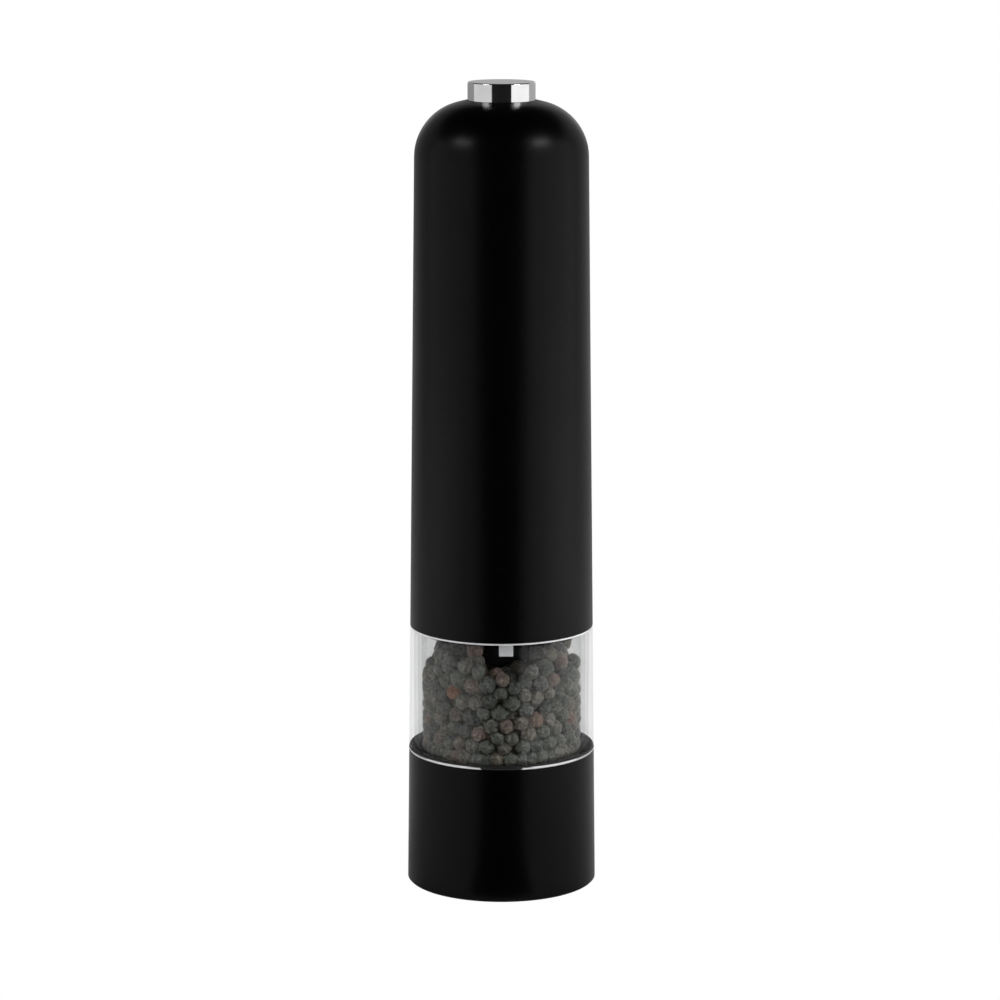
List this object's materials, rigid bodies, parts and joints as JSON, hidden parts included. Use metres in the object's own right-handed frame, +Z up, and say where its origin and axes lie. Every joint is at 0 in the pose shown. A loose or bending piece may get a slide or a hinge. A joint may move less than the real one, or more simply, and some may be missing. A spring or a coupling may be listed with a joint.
{
  "type": "electric pepper mill",
  "caption": "Tall slim battery pepper mill: black tapered casing with domed top and chrome push button, clear pepper chamber, black base with ceramic grinder.",
  "frame": {"origin": "centre of the base's bottom rim", "axes": "+Z up along the mill's axis, from the base to the push button; the front, with the locating tab, faces -Y"},
  "size_m": [0.0508, 0.0508, 0.2152],
  "materials": {
    "black_case": "satin",
    "black_inner": "matt",
    "chrome_trim": "polished",
    "gasket": "matt",
    "clear": "clear",
    "seal": "translucent",
    "ceramic": "matt",
    "steel": "satin",
    "bronze": "satin",
    "magnet": "matt",
    "gear_white": "satin",
    "cell_wrap": "satin",
    "plunger_red": "satin",
    "red_wire": "satin",
    "black_wire": "satin",
    "yellow_wire": "satin"
  },
  "bodies": {
    "lower_body": {"base_housing": "black_case", "trim_ring": "chrome_trim", "base_gasket": "gasket", "window_tube": "clear", "pepper_cup": "clear", "ring_holder": "black_inner", "burr_ring": "ceramic", "feed_spider": "black_inner", "shaft_bush": "bronze", "base_screws": "steel"},
    "drive": {"drive_shaft": "steel", "drive_dog": "steel", "shaft_clips": "steel"},
    "burr": {"burr_cone": "ceramic", "cone_hub": "black_inner", "grind_spring": "steel"},
    "knob": {"adjust_knob": "black_inner", "knob_nut": "bronze"},
    "power_unit": {"chassis_plate": "black_inner", "rim_seal": "seal", "output_bearing": "bronze", "gearbox_housing": "gear_white", "gearbox_cover": "black_inner", "gearbox_screws": "steel", "motor_can": "steel", "motor_end_cap": "black_inner", "motor_magnets": "magnet", "motor_terminals": "bronze", "motor_screws": "steel", "battery_holder": "black_inner", "holder_cap": "black_inner", "holder_screws": "steel", "contact_plates": "steel", "aa_cell_1": "cell_wrap", "aa_cell_2": "cell_wrap", "aa_cell_3": "cell_wrap", "aa_cell_4": "cell_wrap", "cell_springs": "steel", "switch_body": "black_inner", "red_lead": "red_wire", "black_lead": "black_wire", "switch_lead": "yellow_wire"},
    "plunger": {"switch_plunger": "plunger_red"},
    "output": {"output_carrier": "gear_white"},
    "gear_2a": {"planet_2a": "gear_white"},
    "gear_2b": {"planet_2b": "gear_white"},
    "gear_2c": {"planet_2c": "gear_white"},
    "stage_1": {"carrier_1": "gear_white"},
    "gear_1a": {"planet_1a": "gear_white"},
    "gear_1b": {"planet_1b": "gear_white"},
    "gear_1c": {"planet_1c": "gear_white"},
    "rotor": {"motor_shaft": "steel", "motor_pinion": "steel", "motor_armature": "steel"},
    "casing": {"upper_casing": "black_case", "button_retainer": "black_inner", "retainer_screws": "steel", "button_spring": "steel"},
    "button": {"button_cap": "chrome_trim", "button_stem": "black_inner"}
  },
  "joints": [
    {"name": "rotor_spin", "type": "hinge", "parent": "power_unit", "child": "rotor", "pos_m": [0, 0, 0.11], "axis": [0, 0, 1], "continuous": true},
    {"name": "stage_1_spin", "type": "hinge", "parent": "power_unit", "child": "stage_1", "pos_m": [0, 0, 0.09], "axis": [0, 0, 1], "continuous": true},
    {"name": "output_spin", "type": "hinge", "parent": "power_unit", "child": "output", "pos_m": [0, 0, 0.09], "axis": [0, 0, 1], "continuous": true},
    {"name": "grinder_spin", "type": "hinge", "parent": "lower_body", "child": "drive", "pos_m": [0, 0, 0.09], "axis": [0, 0, 1], "continuous": true},
    {"name": "gear_1a_spin", "type": "hinge", "parent": "stage_1", "child": "gear_1a", "pos_m": [0.0081, 0, 0.09], "axis": [0, 0, 1], "continuous": true},
    {"name": "gear_2a_spin", "type": "hinge", "parent": "output", "child": "gear_2a", "pos_m": [0.0081, 0, 0.09], "axis": [0, 0, 1], "continuous": true},
    {"name": "gear_1b_spin", "type": "hinge", "parent": "stage_1", "child": "gear_1b", "pos_m": [-0.00405, 0.00701, 0.09], "axis": [0, 0, 1], "continuous": true},
    {"name": "gear_2b_spin", "type": "hinge", "parent": "output", "child": "gear_2b", "pos_m": [-0.00405, 0.00701, 0.09], "axis": [0, 0, 1], "continuous": true},
    {"name": "gear_1c_spin", "type": "hinge", "parent": "stage_1", "child": "gear_1c", "pos_m": [-0.00405, -0.00701, 0.09], "axis": [0, 0, 1], "continuous": true},
    {"name": "gear_2c_spin", "type": "hinge", "parent": "output", "child": "gear_2c", "pos_m": [-0.00405, -0.00701, 0.09], "axis": [0, 0, 1], "continuous": true},
    {"name": "grind_adjust", "type": "hinge", "parent": "burr", "child": "knob", "pos_m": [0, 0, 0.008], "axis": [0, 0, 1], "range_deg": [-270.1, 270.1]},
    {"name": "burr_shift", "type": "slide", "parent": "drive", "child": "burr", "axis": [0, 0, 1], "range_m": [-0.0006, 0.0006], "deforming": ["grind_spring"]},
    {"name": "upper_lift", "type": "slide", "parent": "lower_body", "child": "power_unit", "axis": [0, 0, 1], "range_m": [0, 0.06]},
    {"name": "casing_pull", "type": "slide", "parent": "power_unit", "child": "casing", "axis": [0, 0, 1], "range_m": [0, 0.15]},
    {"name": "button_press", "type": "slide", "parent": "casing", "child": "button", "axis": [0, 0, -1], "range_m": [0, 0.002], "stiffness_N_per_m": 800, "springref_m": -0.004, "deforming": ["button_spring"]},
    {"name": "plunger_press", "type": "slide", "parent": "power_unit", "child": "plunger", "axis": [0, 0, -1], "range_m": [0, 0.002]}
  ],
  "couplings": [
    {"joint": "stage_1_spin", "follows": "rotor_spin", "ratio": 0.22222},
    {"joint": "output_spin", "follows": "rotor_spin", "ratio": 0.049383},
    {"joint": "grinder_spin", "follows": "rotor_spin", "ratio": 0.049383},
    {"joint": "gear_1a_spin", "follows": "rotor_spin", "ratio": -0.62222},
    {"joint": "gear_2a_spin", "follows": "rotor_spin", "ratio": -0.13827},
    {"joint": "gear_1b_spin", "follows": "rotor_spin", "ratio": -0.62222},
    {"joint": "gear_2b_spin", "follows": "rotor_spin", "ratio": -0.13827},
    {"joint": "gear_1c_spin", "follows": "rotor_spin", "ratio": -0.62222},
    {"joint": "gear_2c_spin", "follows": "rotor_spin", "ratio": -0.13827},
    {"joint": "grind_adjust", "follows": "burr_shift", "rad_per_m": 7854},
    {"joint": "plunger_press", "follows": "button_press", "ratio": 1}
  ]
}
